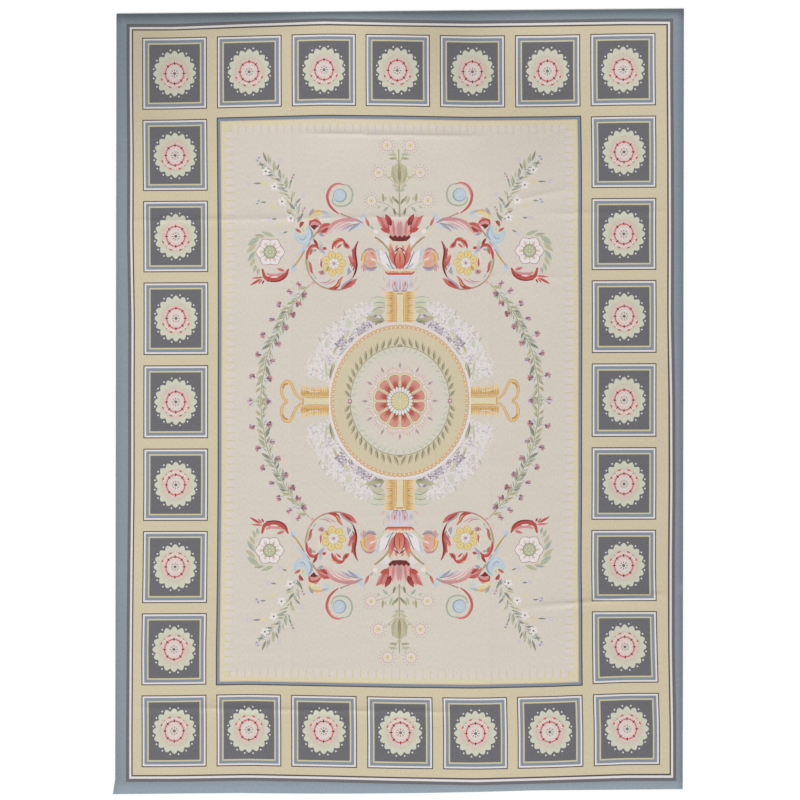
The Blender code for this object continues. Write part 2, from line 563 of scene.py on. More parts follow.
def blossoms(drawing):
    """The wreath of white and lilac blossom round the roundel, in one quarter."""
    pick = random.Random(5)
    angles = [14 + 2.1 * i for i in range(30)]
    rim = [wreath_point(a, 1.0) for a in angles]
    outer = [wreath_point(a, 1.33 + 0.02 * math.sin(0.9 * i)) for i, a in enumerate(angles)]
    drawing.lay(rim + outer[::-1], "haze")
    drawing.leaf(wreath_point(37, 1.1), wreath_point(49, 1.16), 34, "heather_pale")
    drawing.leaf(wreath_point(53, 1.06), wreath_point(71, 1.08), 46, "heather_pale", "lilac_pale")
    for i in range(46):
        for j in range(13):
            angle = 13.5 + 1.37 * (i + 0.5 + pick.uniform(-0.4, 0.4))
            out = 1.01 + 0.0285 * (j + 0.5 + pick.uniform(-0.4, 0.4))
            edge = 1.36 + 0.025 * math.sin(0.31 * angle + 1) + pick.uniform(-0.015, 0.015)
            dark = 38 < angle < 72.5 and out < 1.13 + 0.03 * math.sin(0.2 * angle) and not 52 < angle < 55
            lilac = 18 < angle < 31 and 1.05 < out < 1.17
            if out > edge:
                continue
            dye = pick.choice(DARK_BLOSSOMS if dark else PALE_BLOSSOMS)
            if lilac and pick.random() < 0.5:
                dye = "heather_pale"
            if not dark and pick.random() < 0.10:
                dye = "pale_bay"
            size = pick.uniform(3.4, 5.6)
            drawing.lay(oval(wreath_point(angle, out), size, size, 4, pick.uniform(0, 70)), dye)
    drawing.leaf(300 + 84j, 284 + 168j, 22, "olive_grey", "olive_pale")
    drawing.leaf(306 + 96j, 292 + 160j, 6, "bay")
    drawing.leaf(316 + 84j, 322 + 176j, 12, "pale_leaf", "olive_pale")
    drawing.leaf(268 + 190j, 208 + 258j, 11, "grey_leaf", "mist", 0.04)
    drawing.leaf(290 + 196j, 270 + 240j, 12, "olive_straw", "olive")
    drawing.leaf(216 + 300j, 246 + 258j, 16, "olive_straw", "pale_bay")
    drawing.leaf(228 + 352j, 214 + 312j, 24, "pale_bay", "pale_leaf")
    drawing.leaf(318 + 262j, 322 + 222j, 14, "pale_bay")
    drawing.leaf(352 + 272j, 338 + 240j, 10, "grey_leaf", "pale_leaf")
    drawing.leaf(246 + 392j, 236 + 358j, 8, "mist", "grey_leaf")


def sheaf_leaves(drawing):
    """The grey-green leaves between the upper sheaf and the blossom, in one quarter."""
    drawing.lay([66 + 442j, 100 + 446j, 140 + 436j, 132 + 420j, 108 + 419j, 66 + 420j],
                "pale_bay", "pale_leaf", 66 + 430j, 140 + 430j)
    drawing.lay([66 + 418j, 106 + 419j, 122 + 408j, 112 + 397j, 66 + 396j], "moss_pale", "pale_leaf",
                66 + 408j, 120 + 408j)
    drawing.leaf(66 + 340j, 152 + 352j, 44, "olive_grey", "olive_pale", 0.10)
    drawing.leaf(66 + 380j, 136 + 362j, 34, "olive_pale", "pale_bay", 0.10)
    drawing.leaf(80 + 352j, 120 + 366j, 14, "lilac_pale", "heather_pale")
    drawing.leaf(98 + 366j, 116 + 356j, 9, "dusk")
    drawing.leaf(70 + 336j, 116 + 334j, 12, "bay", "olive_grey")
    drawing.strip("deep_leaf", (2, 3.6, 2), 66 + 417j, 92 + 420j, 114 + 415j)
    drawing.strip("deep_leaf", (2, 4, 3, 2), 64 + 394j, 88 + 398j, 106 + 391j, 118 + 380j)
    drawing.strip("grey_leaf", (2, 3, 2), 68 + 440j, 96 + 444j, 126 + 438j)


def sheaf(drawing, place, low, high):
    """Gold fringe either side of a plain panel; place takes a length along it and one across it."""
    def at(along, across):
        return place(low + (high - low) * along, across)

    drawing.lay([at(0.0, 26), at(0.0, 66), at(0.35, 58), at(0.7, 60), at(0.96, 74), at(1.0, 72), at(1.0, 26)],
                "gold_pale", "buff", at(0.5, 26), at(0.5, 74))
    for i in range(12):
        t = (i + 0.5) / 12
        reach = 60 + 6 * math.cos(2.1 * i) + 8 * t * t
        drawing.leaf(at(t, 24), at(t, reach), 7.5, "gold_brown", "gold_pale", 0.0, 0.35)
        drawing.leaf(at(t + 0.04, 25), at(t + 0.04, reach - 16), 5, "gold", "gold_pale", 0.0, 0.4)
    for t in (0.36, 0.52, 0.76):
        drawing.leaf(at(t, 30), at(t, 48), 3, "bark", points=1)
    drawing.lay([at(0.0, 0), at(0.0, 14), at(1.0, 13), at(1.0, 0)], "straw_light")
    edge = [at(0.0, 20), at(0.3, 19), at(0.6, 19), at(0.85, 21), at(1.0, 31)]
    drawing.lay(ribbon(edge, (11, 11, 11, 10, 8)), "gold_brown")
    drawing.lay(ribbon(edge, (6, 6, 6, 6, 4)), "gold_pale")
    drawing.lay([at(0.90, 0), at(0.90, 15), at(0.955, 16), at(0.955, 0)], "gold")


def gold_head(drawing):
    """The gold sheaf above the roundel, in one quarter."""
    sheaf(drawing, lambda along, across: complex(across, along), 334, 466)


def gold_side(drawing):
    """The gold sheaf and ribbon loop beside the roundel, in one quarter."""
    sheaf(drawing, lambda along, across: complex(along, across), 306, 428)
    drawing.strip("milk", (2, 3, 2), 424 + 58j, 396 + 46j, 368 + 40j, 344 + 42j)
    loop = (426 + 8j, 446 + 26j, 460 + 52j, 476 + 82j, 499 + 79j, 512 + 46j, 502 + 12j, 484 + 4j)
    drawing.strip("gold_brown", (9, 11, 13, 16, 12, 9), *loop)
    drawing.strip("gold_pale", (5, 7, 9, 11, 8, 5), *loop)
    drawing.strip("gold_brown", (4, 10, 6), 484 + 74j, 498 + 72j, 508 + 56j)


def tassels(drawing):
    """The lilac fringe and red crown above the gold sheaf, in one quarter."""
    drawing.lay([470j, 56 + 471j, 64 + 500j, 58 + 537j, 537j], "lilac_pale", "ecru", 490j, 86 + 490j)
    for i in range(10):
        top = complex(2 + 5.6 * i, 538 - 0.6 * i)
        foot = complex(1 + 6.6 * i, 470 + 1.5 * i)
        dye = ("mauve", "lilac_pale", "heather", "pink", "heather_pale")[i % 5]
        drawing.leaf(top, foot, 8.5 - 0.4 * i, "lilac_pale", dye, 0.0, 0.6)
    drawing.leaf(60 + 470j, 92 + 498j, 9, "blush", "shell")
    drawing.leaf(62 + 500j, 74 + 540j, 7, "pale_leaf", "blush")
    drawing.leaf(22 + 494j, 24 + 514j, 7, "rose")
    drawing.leaves(
        ("dusk", 6, 2 + 471j, 32 + 473j),
        ("dusk", 5, 8 + 474j, 18 + 484j),
        ("dusk", 4, 24 + 473j, 30 + 486j),
    )
    drawing.strip("sky", (7, 5, 3), 534j, 34 + 536j, 62 + 534j)
    drawing.strip("milk", (3, 3), 538j, 40 + 539j)
    drawing.lay([541j, 52 + 541j, 62 + 550j, 64 + 562j, 40 + 566j, 20 + 564j, 567j],
                "peach_pink", "straw_light", 545j, 568j)
    drawing.strip("brick_warm", (9, 10, 8, 4), 546j, 30 + 546j, 52 + 547j, 64 + 556j)
    for spot in (6 + 560j, 20 + 562j, 34 + 560j, 48 + 560j):
        drawing.leaf(spot - 5, spot + 8 + 2j, 6, "straw_light", "petal_white")
    for spot in (14 + 554j, 29 + 555j, 42 + 554j):
        drawing.leaf(spot - 6, spot + 6, 4, "brick_warm")


def red_flower(drawing):
    """The red flower on the crown, with the white and grey leaves beside it, in one quarter."""
    drawing.leaf(66 + 566j, 104 + 600j, 15, "pale_leaf", "moss_pale")
    drawing.leaf(24 + 562j, 86 + 654j, 40, "snow", "petal_white", -0.08)
    drawing.leaf(34 + 566j, 60 + 592j, 9, "mist", "teal")
    drawing.leaf(26 + 566j, 58 + 640j, 13, "lilac_pale", "sky")
    drawing.leaf(44 + 622j, 64 + 654j, 10, "milk", "lilac")
    drawing.strip("slate_green", (2, 4, 4, 3), 30 + 566j, 42 + 592j, 52 + 618j, 62 + 640j)
    drawing.strip("dusk", (2, 5, 3), 22 + 566j, 32 + 572j, 38 + 582j)
    drawing.lay([64 + 664j, 46 + 676j, 40 + 704j, 66 + 706j, 92 + 694j, 76 + 672j], "petal_white", "haze",
                60 + 664j, 66 + 706j)
    drawing.leaf(12 + 572j, 42 + 680j, 30, "brick_warm", "pink_warm", -0.05)
    drawing.leaf(22 + 596j, 34 + 660j, 12, "brick", "rose")
    drawing.leaf(34 + 626j, 58 + 664j, 11, "brick_warm", "gold_pale")
    drawing.leaf(26 + 654j, 34 + 690j, 9, "gold_pale", "straw_light")
    drawing.leaf(44 + 648j, 60 + 672j, 7, "gold_pale")
    drawing.lay([566j, 15 + 572j, 22 + 604j, 16 + 636j, 652j], "brick_warm", "peach_pink", 570j, 660j)
    drawing.strip("oxblood", (2, 4, 4, 2), 13 + 566j, 22 + 594j, 20 + 622j, 8 + 648j)
    drawing.leaf(660j, 26 + 640j, 9, "oxblood", "brick")
    drawing.leaf(1 + 585j, 1 + 640j, 5, "brick")
    drawing.leaf(8 + 672j, 20 + 652j, 10, "peach_pink", "brick_warm")
    drawing.strip("tan_brown", (5, 9, 10, 6), 46 + 648j, 62 + 668j, 82 + 688j, 108 + 706j)
    drawing.strip("olive_pale", (2, 3, 2), 50 + 656j, 70 + 682j, 92 + 700j)


def side_curl(drawing):
    """The curled leaf beside the red flower, in one quarter."""
    drawing.lay(oval(132 + 608j, 33, 44, 18), "peach_pink", "blush", 110 + 600j, 165 + 615j)
    drawing.strip("mauve", (3, 8, 9, 8, 4), 104 + 640j, 122 + 654j, 144 + 650j, 160 + 630j, 168 + 604j)
    drawing.strip("gold_pale", (4, 14, 17, 12, 4), 136 + 648j, 150 + 634j, 156 + 612j, 152 + 590j, 140 + 578j)
    drawing.strip("gold", (2, 6, 7, 3), 142 + 636j, 150 + 624j, 152 + 606j, 146 + 590j)
    drawing.strip("rose_pale", (3, 10, 8, 3), 108 + 616j, 118 + 628j, 124 + 640j, 132 + 648j)
    drawing.strip("rose", (2, 6, 2), 112 + 626j, 120 + 636j, 128 + 632j)
    drawing.strip("milk", (3, 7, 3), 102 + 606j, 116 + 608j, 128 + 616j)
    drawing.strip("rose_pale", (3, 10, 9, 3), 106 + 590j, 120 + 588j, 134 + 596j, 142 + 606j)
    drawing.strip("rust", (2, 5, 2), 110 + 594j, 124 + 592j, 136 + 600j)
    drawing.strip("heather", (6, 14, 13, 8, 3), 100 + 576j, 116 + 566j, 136 + 566j, 150 + 580j, 158 + 596j)
    drawing.strip("dusk", (3, 6, 5, 2), 102 + 578j, 120 + 570j, 138 + 572j, 150 + 586j)
    drawing.leaf(154 + 592j, 158 + 552j, 10, "mauve", "rose_pale")
    drawing.leaf(146 + 580j, 150 + 556j, 7, "rose_pale", "mauve")
    drawing.leaf(162 + 590j, 168 + 566j, 6, "pink")
    drawing.leaf(62 + 600j, 104 + 656j, 30, "denim_pale", "sky", 0.06)
    drawing.leaf(74 + 622j, 96 + 656j, 14, "sky", "mist")
    drawing.leaf(64 + 600j, 96 + 618j, 14, "heather", "lilac")
    drawing.strip("pale_leaf", (3, 8, 9, 4), 66 + 564j, 80 + 576j, 94 + 590j, 108 + 602j)
    drawing.strip("grey_leaf", (2, 3, 2), 64 + 560j, 78 + 572j, 92 + 588j)


def tulip(drawing):
    """The mauve tulip and the red cup beside it, in one quarter."""
    drawing.leaf(20 + 700j, 62 + 786j, 20, "teal", "mist", -0.08)
    drawing.lay([690j, 30 + 692j, 46 + 706j, 44 + 740j, 34 + 776j, 22 + 790j, 8 + 770j, 762j],
                "pink", "shell", 700j, 785j)
    drawing.leaf(4 + 706j, 5 + 782j, 16, "mauve", "pink")
    drawing.leaf(24 + 708j, 30 + 784j, 13, "rose", "pink")
    drawing.lay([686j, 30 + 688j, 48 + 704j, 40 + 714j, 30 + 705j, 20 + 714j, 10 + 704j, 712j], "oxblood")
    drawing.leaf(46 + 716j, 104 + 800j, 34, "brick", "rose", 0.10)
    drawing.leaf(40 + 730j, 84 + 742j, 24, "brick")
    drawing.leaf(36 + 752j, 62 + 806j, 28, "oxblood", "brick")
    drawing.leaf(52 + 742j, 74 + 800j, 15, "rose", "pink")
    drawing.leaf(74 + 744j, 98 + 788j, 9, "pink")
    drawing.dot(104 + 729j, 10, "petal_white", 8)
    drawing.leaves(("butter", 8, 114 + 726j, 130 + 716j), ("grey_leaf", 9, 112 + 738j, 130 + 756j))


def daisy(drawing, centre):
    for i in range(14):
        way = turn(360 * (i + 0.5) / 14)
        drawing.leaf(centre + 8 * way, centre + 22 * way, 7, "shell", "petal_white", points=2)
        dash = "rose" if way.real > -0.3 else "mauve"
        drawing.leaf(centre + 19 * way, centre + 26 * way, 4.4, dash, points=1)
        drawing.dot(centre + 34 * way, 2.6, "sage_dark", 5)
    drawing.dot(centre, 8, "butter", 8)
    drawing.dot(centre, 3, "tan_brown", 5)


def finial(drawing):
    """The tall stem with its bud, small leaves and round flowers, in one quarter."""
    drawing.lay([790j, 3.6 + 790j, 2.6 + 1085j, 1085j], "olive")
    drawing.strip("olive", (3, 2.5, 2), 4 + 800j, 40 + 838j, 66 + 852j, 100 + 862j)
    drawing.strip("olive", (3, 2.5, 2), 4 + 905j, 26 + 945j, 68 + 978j)
    drawing.strip("olive", (3, 2.5, 2), 3 + 1030j, 20 + 1060j, 30 + 1085j)
    drawing.lay([930j, 20 + 940j, 37 + 978j, 24 + 1012j, 1032j], "olive_pale")
    drawing.leaf(14 + 938j, 26 + 1022j, 14, "olive", "moss", -0.1)
    drawing.leaf(2 + 940j, 2 + 1030j, 11, "olive_deep", "olive")
    drawing.leaves(
        ("olive_pale", 14, 4 + 922j, 34 + 932j),
        ("moss", 11, 2 + 903j, 24 + 914j),
        ("olive", 13, 14 + 856j, 34 + 886j),
        ("olive_deep", 9, 4 + 846j, 18 + 874j),
        ("moss", 12, 30 + 846j, 44 + 884j),
        ("olive", 12, 70 + 856j, 73 + 898j),
        ("olive_pale", 10, 60 + 882j, 60 + 862j),
        ("grey_leaf", 12, 48 + 838j, 74 + 812j),
        ("olive_deep", 11, 26 + 832j, 18 + 796j),
        ("pale_leaf", 13, 38 + 942j, 82 + 928j),
        ("moss", 12, 8 + 1064j, 48 + 1060j),
        ("olive", 11, 8 + 1046j, 46 + 1044j),
        ("olive_pale", 9, 54 + 960j, 30 + 970j),
        ("moss", 9, 82 + 842j, 98 + 828j),
    )
    for centre in (50 + 1101j, 90 + 985j, 122 + 864j):
        daisy(drawing, centre)


GARLAND_PATH = (
    396 + 498j, 430 + 460j, 455 + 430j, 480 + 400j, 500 + 370j, 515 + 340j, 530 + 310j, 545 + 280j,
    560 + 250j, 575 + 215j, 585 + 180j, 592 + 140j, 600 + 100j, 605 + 60j, 608 + 20j, 609 + 0j,
)
GARLAND_LEAVES = ("pale_leaf", "grey_leaf", "moss", "deep_leaf", "olive_pale", "mist", "moss")
BUD_DYES = ("mauve", "mauve", "lilac", "pink", "plum")
GARLAND_BUDS = (
    445 + 499j, 484 + 467j, 531 + 413j, 563 + 350j, 600 + 282j, 621 + 200j, 647 + 107j, 656 - 4j,
    419 + 454j, 445 + 413j, 471 + 368j, 501 + 314j, 531 + 243j, 557 + 170j, 570 + 97j, 574 - 4j,
)


def garland(drawing):
    """The leafy rope that arches round the field, with buds on both sides, in one quarter."""
    path = smooth(GARLAND_PATH)
    drawing.strip("olive", (4, 4), *GARLAND_PATH)
    pick = random.Random(11)
    for i in range(1, len(path) - 1):
        along = path[i + 1] - path[i - 1]
        along = along / abs(along)
        for side in (1, -1):
            if i % 2 == (side > 0) or i % 3 == 0:
                way = along * turn(side * pick.uniform(24, 44))
                base = path[i] + 2j * side * along
                dye = pick.choice(GARLAND_LEAVES)
                tip = base + pick.uniform(34, 46) * way
                drawing.leaf(base, tip, pick.uniform(11, 15), dye, None, 0.06 * side)
                drawing.leaf(base + 3 * way, base + 30 * way, 3.4, "olive_deep", points=2)
    for bud in GARLAND_BUDS:
        nearest = min(path, key=lambda point: abs(point - bud))
        drawing.strip("grey_leaf", (3, 2.5), nearest, mixed(nearest, bud, 0.8))
        for j in range(7):
            spot = bud + (9 if j else 0) * turn(60 * j + 15)
            drawing.dot(spot, pick.uniform(4.5, 6.5), pick.choice(BUD_DYES), 6)
        drawing.leaf(bud - 12, bud + 12 + 2j, 5, "plum", points=2)


FEATHER_PATH = (
    575 + 1046j, 556 + 1032j, 540 + 1010j, 520 + 988j, 502 + 966j, 486 + 942j, 472 + 912j, 461 + 880j,
    450 + 850j, 441 + 820j, 437 + 790j, 438 + 764j,
)
FEATHER_LEAVES = ("deep_leaf", "grey_leaf", "moss", "pale_leaf", "deep_leaf", "grey_leaf", "olive_pale")
FEATHER_RIBS = ("deep_leaf", "milk")


def feather(drawing):
    """The dark feathery branch with white flowers at the corner of the field, in one quarter."""
    path = smooth(FEATHER_PATH, 2)
    pick = random.Random(3)
    for i in range(1, len(path) - 1):
        along = path[i - 1] - path[i + 1]
        along = along / abs(along)
        for side in (1, -1):
            way = along * turn(side * pick.uniform(26, 58))
            dye = pick.choice(FEATHER_LEAVES)
            base = path[i] + pick.uniform(-4, 4)
            drawing.leaf(base, base + pick.uniform(34, 52) * way, pick.uniform(9, 13), dye)
            drawing.leaf(base, base + pick.uniform(18, 28) * way, 4, pick.choice(FEATHER_RIBS), points=2)
    for branch, flower, dye in (
        (585 + 950j, 640 + 952j, "lilac"),
        (565 + 868j, 602 + 868j, "denim"),
        (520 + 795j, 555 + 792j, "lilac"),
        (475 + 740j, 505 + 728j, "lilac"),
        (520 + 1005j, 505 + 1048j, "lilac"),
        (465 + 945j, 450 + 980j, "mauve"),
        (437 + 862j, 408 + 895j, "lilac"),
        (418 + 797j, 405 + 835j, "mauve"),
        (580 + 1020j, 600 + 1055j, "denim"),
    ):
        drawing.leaf(branch, mixed(branch, flower, 0.72), 8, "deep_leaf")
        for j in range(4):
            drawing.dot(flower + 7 * turn(90 * j + 30), 5, dye if j % 2 else "lilac", 6)
    drawing.leaves(
        ("straw", 14, 552 + 944j, 590 + 958j),
        ("straw", 14, 520 + 842j, 552 + 852j),
        ("straw", 12, 486 + 778j, 512 + 770j),
    )
    for centre in (568 + 1002j, 531 + 936j, 498 + 871j, 461 + 796j):
        for j in range(5):
            way = turn(72 * j + 20)
            drawing.leaf(centre + 2 * way, centre + 21 * way, 14, "petal_white", "milk", points=2)
        drawing.dot(centre, 4.5, "plum", 6)


def white_flower(drawing):
    """The white six-petal flower in its ring of leaves, in one quarter."""
    middle = 558 + 639j
    drawing.leaves(
        ("moss", 24, 604 + 704j, 656 + 668j),
        ("grey_leaf", 10, 612 + 690j, 652 + 664j),
        ("olive_pale", 20, 618 + 674j, 662 + 634j),
        ("moss", 20, 622 + 644j, 656 + 596j),
        ("denim", 6, 630 + 640j, 654 + 604j),
        ("olive_pale", 18, 622 + 614j, 646 + 574j),
        ("moss", 16, 618 + 586j, 632 + 550j),
        ("grey_leaf", 14, 608 + 570j, 614 + 540j),
        ("moss", 18, 540 + 706j, 596 + 728j),
        ("olive_pale", 18, 578 + 706j, 628 + 712j),
        ("denim", 6, 586 + 710j, 624 + 714j),
    )
    for dye, grow, width in (("mauve", 3, 54), ("petal_white", 0, 48)):
        for i in range(6):
            way = turn(60 * i)
            drawing.leaf(middle + 8 * way, middle + (62 + grow) * way, width, dye, None, 0.0, 0.62, 5)
    for i in range(6):
        way = turn(60 * i)
        drawing.leaf(middle + 24 * way, middle + 48 * way, 14, "blush", "shell")
        drawing.leaf(middle + 20 * turn(60 * i + 30), middle + 46 * turn(60 * i + 30), 3, "mauve")
    drawing.dot(middle, 29, "olive_deep", 14)
    drawing.dot(middle, 26, "moss", 14)
    for i in range(9):
        drawing.dot(middle + (15 if i else 0) * turn(45 * i), 4, "straw", 5)
    drawing.strip("brick", (6, 20, 26, 24, 16, 8), 478 + 566j, 494 + 538j, 520 + 524j, 552 + 522j, 580 + 530j,
                  592 + 566j)
    drawing.strip("pink", (4, 12, 14, 8), 492 + 552j, 516 + 542j, 548 + 538j, 574 + 546j)
    drawing.strip("oxblood", (2, 5, 5, 3), 482 + 548j, 502 + 522j, 536 + 511j, 574 + 514j)
    drawing.leaves(
        ("rose", 14, 494 + 556j, 530 + 568j),
        ("rose", 10, 586 + 530j, 640 + 526j),
        ("brick", 11, 596 + 524j, 648 + 494j),
        ("rose", 9, 590 + 522j, 612 + 500j),
        ("oxblood", 7, 584 + 518j, 594 + 500j),
        ("milk", 7, 520 + 532j, 560 + 530j),
    )


def small_scroll(drawing):
    """The curled end over the acanthus, with its pale blue eye, in one quarter."""
    eye = 257 + 883j
    drawing.strip("grey_leaf", (8, 24, 30, 30, 26, 20, 8), 250 + 930j, 224 + 918j, 213 + 890j, 222 + 858j,
                  250 + 845j, 278 + 850j, 290 + 872j)
    drawing.strip("pale_leaf", (4, 19, 24, 24, 20, 15, 4), 252 + 928j, 228 + 916j, 218 + 890j, 226 + 862j,
                  250 + 850j, 276 + 854j, 287 + 872j)
    drawing.dot(eye, 30, "denim", 18)
    drawing.dot(eye + 2 + 1j, 26, "sky", 16)
    drawing.strip("mist", (3, 6, 3), eye - 14 - 6j, eye + 4j, eye + 12 + 12j)
    drawing.strip("rose", (4, 9, 12, 12, 12, 11, 9, 4), 240 + 930j, 262 + 935j, 286 + 927j, 303 + 908j,
                  312 + 880j, 304 + 846j, 286 + 822j, 262 + 803j, to="brick")
    drawing.strip("pink", (2, 4, 5, 5, 3), 244 + 933j, 266 + 932j, 288 + 921j, 302 + 898j, 307 + 874j)
    drawing.strip("tan_brown", (7, 5, 5, 6, 4), 254 + 804j, 228 + 793j, 204 + 784j, 180 + 776j, 158 + 764j,
                  to="mauve")


def acanthus(drawing):
    """The mauve, red and golden leaves between the middle and the scrolls, in one quarter."""
    drawing.leaf(146 + 806j, 178 + 722j, 24, "sky", "mist", 0.10)
    drawing.leaf(150 + 762j, 206 + 738j, 14, "mist", "sky")
    drawing.leaf(130 + 746j, 150 + 792j, 13, "brick", "pink")
    drawing.leaf(170 + 762j, 224 + 722j, 14, "heather", "denim", 0.06)
    drawing.leaf(206 + 758j, 262 + 726j, 13, "heather", "lilac")
    drawing.leaf(190 + 772j, 312 + 706j, 26, "pink", "shell", 0.12)
    drawing.leaf(250 + 776j, 326 + 702j, 18, "pink", "blush", 0.10)
    drawing.strip("mauve", (5, 13, 14, 13, 11, 5), 158 + 762j, 188 + 777j, 222 + 780j, 258 + 774j, 288 + 762j,
                  306 + 744j, to="pink")
    drawing.strip("milk", (2, 3.5, 3.5, 2), 188 + 768j, 226 + 764j, 262 + 748j, 290 + 722j)
    drawing.strip("milk", (2, 3, 2), 244 + 770j, 278 + 752j, 300 + 728j)
    drawing.strip("plum", (2, 3, 2), 172 + 760j, 206 + 754j, 230 + 738j)
    drawing.leaf(324 + 708j, 352 + 716j, 13, "heather", "denim")
    drawing.strip("tan_brown", (4, 7, 8, 6), 344 + 742j, 362 + 718j, 380 + 694j, 398 + 672j)
    drawing.leaf(298 + 762j, 356 + 716j, 28, "brick", "rose", 0.10)
    drawing.leaf(304 + 744j, 346 + 716j, 11, "oxblood", "brick")
    drawing.leaf(306 + 752j, 350 + 730j, 7, "pink")
    drawing.leaf(310 + 738j, 330 + 716j, 9, "brick")
    drawing.lay([336 + 754j, 342 + 770j, 356 + 786j, 378 + 788j, 391 + 774j, 388 + 754j, 366 + 750j], "pink")
    drawing.strip("brick", (4, 9, 10, 9, 5), 338 + 758j, 352 + 770j, 372 + 776j, 386 + 768j, 389 + 752j)
    drawing.lay([346 + 750j, 366 + 756j, 387 + 752j, 378 + 742j, 368 + 733j, 358 + 745j], "oxblood")
    drawing.leaf(296 + 802j, 350 + 818j, 13, "sky", "denim")
    drawing.leaf(298 + 798j, 338 + 778j, 14, "sky", "mist")
    drawing.lay([336 + 806j, 350 + 792j, 372 + 780j, 394 + 774j, 396 + 790j, 388 + 808j, 366 + 818j], "straw")
    drawing.strip("amber", (4, 12, 12, 6), 330 + 812j, 352 + 816j, 374 + 811j, 390 + 794j)
    drawing.strip("milk", (2, 4, 2), 330 + 796j, 354 + 790j, 376 + 790j)
    drawing.leaf(370 + 828j, 391 + 796j, 13, "denim", "heather")


def blue_cup(drawing):
    """The pale blue cup with red tips over the scroll, and the stem to its tie, in one quarter."""
    drawing.strip("tan_brown", (5, 8, 8, 5), 410 + 648j, 424 + 622j, 440 + 598j, 458 + 574j, to="ochre")
    drawing.strip("sky", (14, 16, 12, 7, 3), 398 + 680j, 408 + 664j, 420 + 646j, 434 + 630j, 448 + 618j)
    drawing.leaf(442 + 562j, 478 + 566j, 20, "sky", "mist")
    drawing.leaf(452 + 588j, 470 + 558j, 9, "denim", "sky")
    drawing.dot(414 + 712j, 42, "sky", 18)
    drawing.lay([396 + 754j, 408 + 742j, 412 + 716j, 428 + 710j, 442 + 724j, 446 + 738j, 434 + 762j,
                 414 + 772j], "ecru")
    drawing.lay([404 + 748j, 402 + 728j, 414 + 712j, 434 + 712j, 444 + 726j, 430 + 742j, 416 + 750j],
                "pale_leaf")
    drawing.strip("denim", (3, 9, 10, 4), 392 + 748j, 380 + 728j, 378 + 706j, 390 + 688j)
    drawing.strip("mist", (3, 7, 8, 5, 3), 388 + 726j, 390 + 704j, 404 + 688j, 424 + 682j, 440 + 694j)
    drawing.strip("denim", (2, 4, 3), 404 + 708j, 414 + 692j, 432 + 694j)
    drawing.lay([411 + 768j, 420 + 771j, 431 + 768j, 434 + 750j, 429 + 742j, 422 + 752j], "brick")
    drawing.leaf(413 + 768j, 431 + 744j, 7, "oxblood", "brick")
    drawing.leaf(424 + 722j, 452 + 740j, 13, "rose", "brick")
    drawing.leaf(412 + 726j, 420 + 742j, 6, "amber")


def yellow_flower(drawing):
    """The yellow flower inside the large scroll."""
    middle = 284 + 588j
    for i in range(7):
        way = turn(360 * i / 7 + 75)
        spot = middle + on_oval(37 + 38j, way)
        for dye, size in (("ochre", 18), ("butter", 15)):
            drawing.lay(scallops(spot, size, size, 7, 0.16, 20 * i), dye)
        drawing.leaf(spot - 12 * way, spot + 9 * way, 6, "amber")
        drawing.leaf(middle + 8 * way, middle + 24 * way, 8, "petal_white")
    drawing.dot(middle, 11, "lilac", 9)
    drawing.dot(middle, 6, "mauve", 7)
    drawing.leaf(middle + 20 - 12j, middle + 36 - 34j, 8, "tan_brown")


